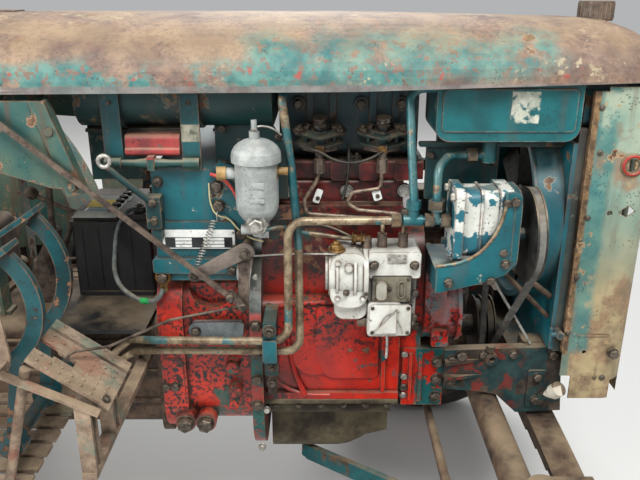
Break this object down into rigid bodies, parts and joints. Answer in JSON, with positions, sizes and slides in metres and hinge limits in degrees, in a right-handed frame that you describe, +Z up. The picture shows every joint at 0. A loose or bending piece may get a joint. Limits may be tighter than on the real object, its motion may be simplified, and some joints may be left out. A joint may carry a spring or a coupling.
{
  "type": "small vintage farm tractor",
  "caption": "Small vintage two-cylinder diesel tractor with open engine sides, steered front wheels, lifting bonnet, pan seat, fenders and a drawbar.",
  "frame": {"origin": "middle of the bounding box's base, on the ground", "axes": "+X forward towards the grille, +Y to the tractor's left, +Z up"},
  "size_m": [2.531, 1.49, 1.312],
  "materials": {
    "rusty_casting": "rusty cast iron",
    "red_casting": "worn red paint on cast iron",
    "teal_paint": "chipped teal paint",
    "dark_teal_paint": "dark teal paint",
    "bare_steel": "weathered bare steel",
    "cream_paint": "worn off-white paint",
    "grey_casting": "grey cast iron",
    "belt_rubber": "dusty rubber",
    "pale_teal_paint": "faded teal paint with rust",
    "black_plastic": "dusty black plastic",
    "tyre_rubber": "dusty black rubber",
    "red_paint": "worn red paint"
  },
  "bodies": {
    "chassis": {"gearbox": "rusty_casting", "clutch_housing": "red_casting", "cover_housing": "teal_paint", "engine_block": "red_casting", "oil_pan": "rusty_casting", "cylinder_head": "dark_teal_paint", "injectors": "bare_steel", "injection_pump": "cream_paint", "fuel_filter": "grey_casting", "hydraulic_pump": "cream_paint", "fan_drive": "bare_steel", "belts": "belt_rubber", "radiator": "teal_paint", "front_frame": "rusty_casting", "grille_shell": "pale_teal_paint", "hydraulic_tank": "teal_paint", "pipes": "bare_steel", "fuel_tank": "dark_teal_paint", "battery": "black_plastic", "cowl": "dark_teal_paint", "control_rods": "bare_steel", "footboards": "bare_steel", "pedals": "teal_paint", "axle_beam": "rusty_casting", "front_suspension": "rusty_casting", "fenders": "pale_teal_paint", "seat": "teal_paint", "steering_column": "rusty_casting", "drawbar": "rusty_casting", "exhaust": "rusty_casting"},
    "bonnet": {"bonnet": "pale_teal_paint"},
    "steering_wheel": {"steering_wheel": "black_plastic"},
    "knuckle_right": {"knuckle_right": "rusty_casting"},
    "knuckle_left": {"knuckle_left": "rusty_casting"},
    "tie_rod": {"tie_rod": "bare_steel"},
    "drop_arm": {"drop_arm": "bare_steel"},
    "drag_link": {"drag_link": "bare_steel"},
    "wheel_front_right": {"tyre_front_right": "tyre_rubber", "rim_front_right": "red_paint"},
    "wheel_front_left": {"tyre_front_left": "tyre_rubber", "rim_front_left": "red_paint"},
    "wheel_rear_right": {"tyre_rear_right": "tyre_rubber", "rim_rear_right": "red_paint"},
    "wheel_rear_left": {"tyre_rear_left": "tyre_rubber", "rim_rear_left": "red_paint"}
  },
  "joints": [
    {"name": "bonnet_hinge", "type": "hinge", "parent": "chassis", "child": "bonnet", "pos_m": [-0.0495, 0, 1.305], "axis": [0, -1, 0], "range_deg": [0, 60]},
    {"name": "steer_right", "type": "hinge", "parent": "chassis", "child": "knuckle_right", "pos_m": [0.9405, -0.538, 0.5], "axis": [0, 0, 1], "range_deg": [-30, 30]},
    {"name": "steer_left", "type": "hinge", "parent": "chassis", "child": "knuckle_left", "pos_m": [0.9405, 0.538, 0.5], "axis": [0, 0, 1], "range_deg": [-30, 30]},
    {"name": "tie_rod_pivot", "type": "hinge", "parent": "knuckle_right", "child": "tie_rod", "pos_m": [0.8285, -0.538, 0.473], "axis": [0, 0, 1], "range_deg": [-30, 30]},
    {"name": "steering_wheel_turn", "type": "hinge", "parent": "chassis", "child": "steering_wheel", "pos_m": [-0.3555, 0, 1.2], "axis": [-0.5, 0, 0.866], "range_deg": [-450, 450]},
    {"name": "drop_arm_swing", "type": "hinge", "parent": "chassis", "child": "drop_arm", "pos_m": [-0.1705, 0.214, 0.782], "axis": [0, 1, 0], "range_deg": [-30, 30]},
    {"name": "drag_link_pivot", "type": "hinge", "parent": "drop_arm", "child": "drag_link", "pos_m": [-0.1705, 0.238, 0.672], "axis": [0, 1, 0], "range_deg": [-30, 30]},
    {"name": "wheel_front_right_spin", "type": "hinge", "parent": "knuckle_right", "child": "wheel_front_right", "pos_m": [0.9405, -0.64, 0.325], "axis": [0, 1, 0], "continuous": true},
    {"name": "wheel_front_left_spin", "type": "hinge", "parent": "knuckle_left", "child": "wheel_front_left", "pos_m": [0.9405, 0.64, 0.325], "axis": [0, 1, 0], "continuous": true},
    {"name": "wheel_rear_right_spin", "type": "hinge", "parent": "chassis", "child": "wheel_rear_right", "pos_m": [-0.7055, -0.628, 0.56], "axis": [0, 1, 0], "continuous": true},
    {"name": "wheel_rear_left_spin", "type": "hinge", "parent": "chassis", "child": "wheel_rear_left", "pos_m": [-0.7055, 0.628, 0.56], "axis": [0, 1, 0], "continuous": true}
  ],
  "couplings": [
    {"joint": "steer_left", "follows": "steer_right", "ratio": 1},
    {"joint": "tie_rod_pivot", "follows": "steer_right", "ratio": -1},
    {"joint": "steering_wheel_turn", "follows": "steer_right", "ratio": 15},
    {"joint": "drop_arm_swing", "follows": "steer_right", "ratio": -1},
    {"joint": "drag_link_pivot", "follows": "steer_right", "ratio": 1}
  ]
}
